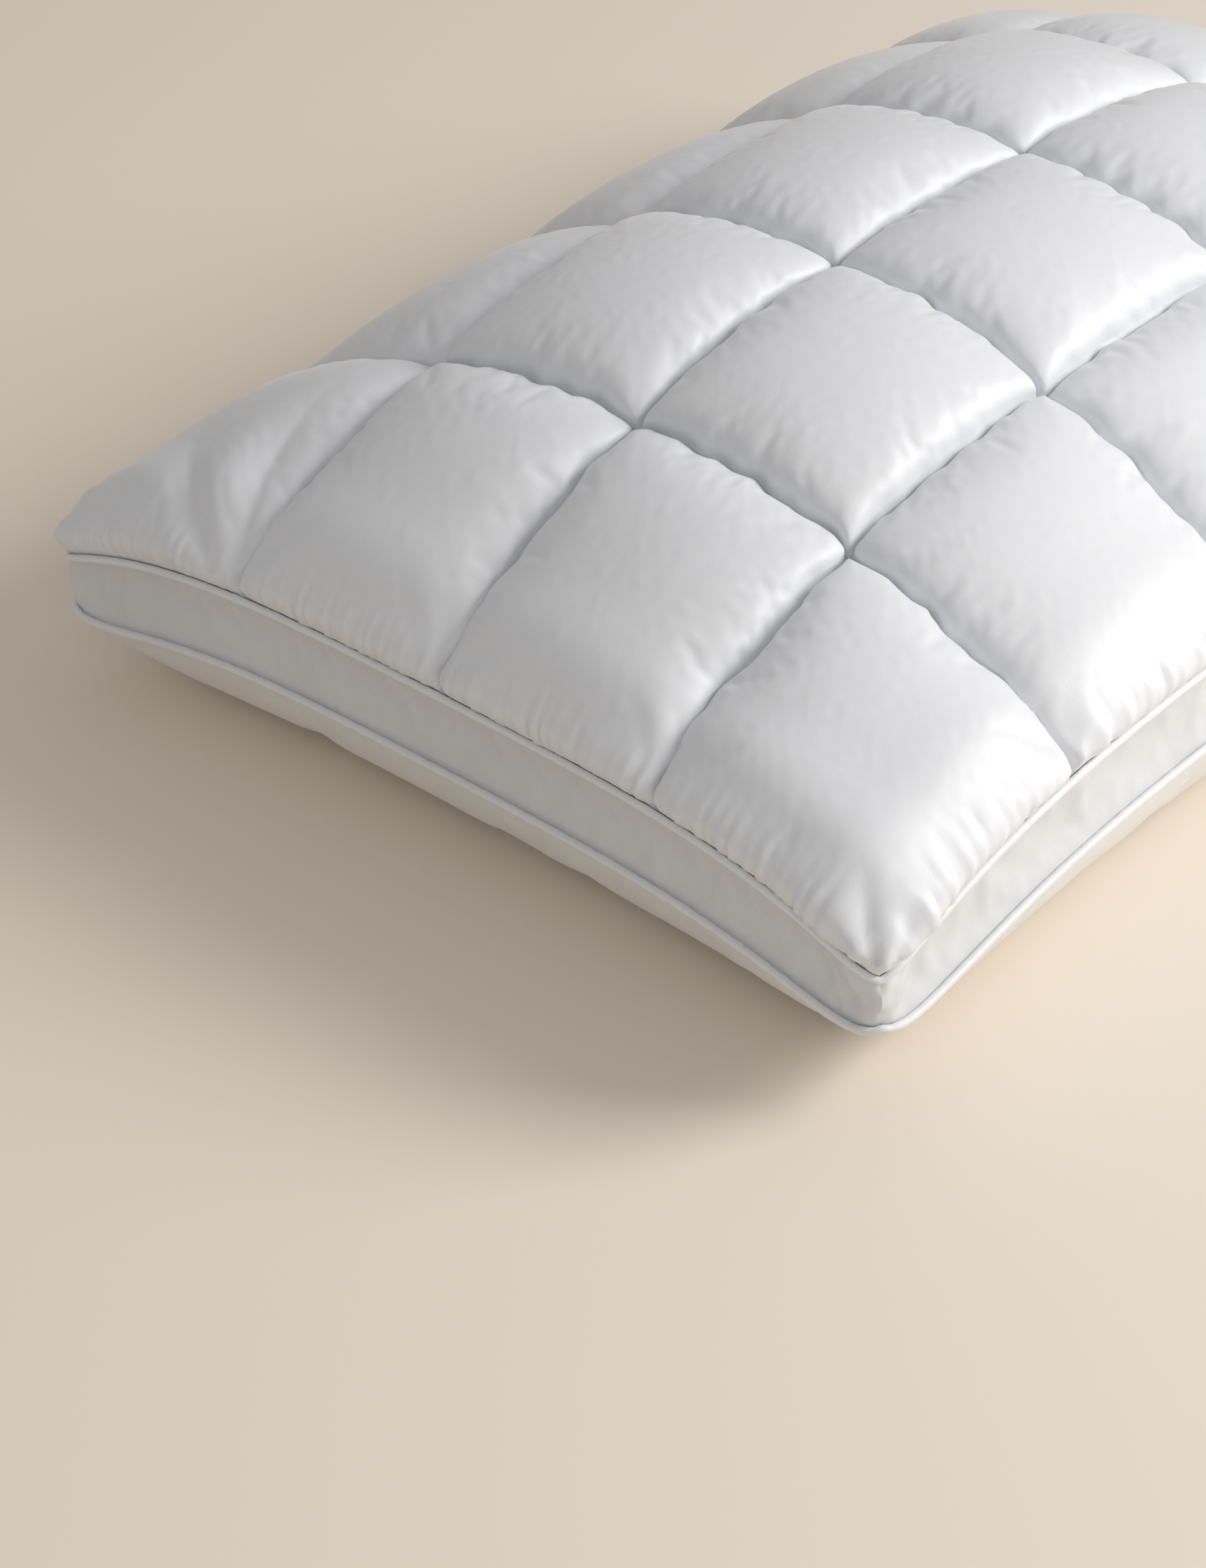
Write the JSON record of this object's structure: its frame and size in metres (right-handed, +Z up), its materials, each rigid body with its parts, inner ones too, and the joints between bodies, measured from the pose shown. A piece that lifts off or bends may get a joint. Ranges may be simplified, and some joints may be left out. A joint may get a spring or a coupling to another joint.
{
  "type": "bed pillow",
  "caption": "Rectangular gusseted bed pillow with a puffed, square-quilted top, piped box wall and a plain bulging underside.",
  "frame": {"origin": "middle of the flat patch on which the pillow rests, at the bottom centre of its box", "axes": "+X along the length, +Y across the width towards the back, +Z up, away from the mattress"},
  "size_m": [0.6676, 0.515, 0.2105],
  "materials": {
    "quilted_face": "satin",
    "pocket_fibre": "matte",
    "lining_cloth": "matte",
    "gusset_cloth": "satin",
    "bottom_cloth": "satin",
    "piping_cloth": "satin",
    "piping_cord": "matte",
    "core_fibre": "matte",
    "sewing_thread": "satin",
    "label_tape": "satin"
  },
  "bodies": {
    "root": {"face_panel": "quilted_face", "lining_panel": "lining_cloth", "bottom_panel": "bottom_cloth", "core_fill": "core_fibre", "gusset_front": "gusset_cloth", "gusset_back": "gusset_cloth", "gusset_left": "gusset_cloth", "gusset_right": "gusset_cloth", "upper_piping_cover": "piping_cloth", "lower_piping_cover": "piping_cloth", "upper_piping_cord": "piping_cord", "lower_piping_cord": "piping_cord", "upper_seam_thread": "sewing_thread", "lower_seam_thread": "sewing_thread", "corner_seam_threads": "sewing_thread", "quilting_threads_lengthwise": "sewing_thread", "quilting_threads_crosswise": "sewing_thread", "care_label": "label_tape", "pocket_fill_row1_col1": "pocket_fibre", "pocket_fill_row1_col2": "pocket_fibre", "pocket_fill_row1_col3": "pocket_fibre", "pocket_fill_row1_col4": "pocket_fibre", "pocket_fill_row2_col1": "pocket_fibre", "pocket_fill_row2_col2": "pocket_fibre", "pocket_fill_row2_col3": "pocket_fibre", "pocket_fill_row2_col4": "pocket_fibre", "pocket_fill_row3_col1": "pocket_fibre", "pocket_fill_row3_col2": "pocket_fibre", "pocket_fill_row3_col3": "pocket_fibre", "pocket_fill_row3_col4": "pocket_fibre", "pocket_fill_row4_col1": "pocket_fibre", "pocket_fill_row4_col2": "pocket_fibre", "pocket_fill_row4_col3": "pocket_fibre", "pocket_fill_row4_col4": "pocket_fibre", "pocket_fill_row5_col1": "pocket_fibre", "pocket_fill_row5_col2": "pocket_fibre", "pocket_fill_row5_col3": "pocket_fibre", "pocket_fill_row5_col4": "pocket_fibre"}
  },
  "joints": []
}
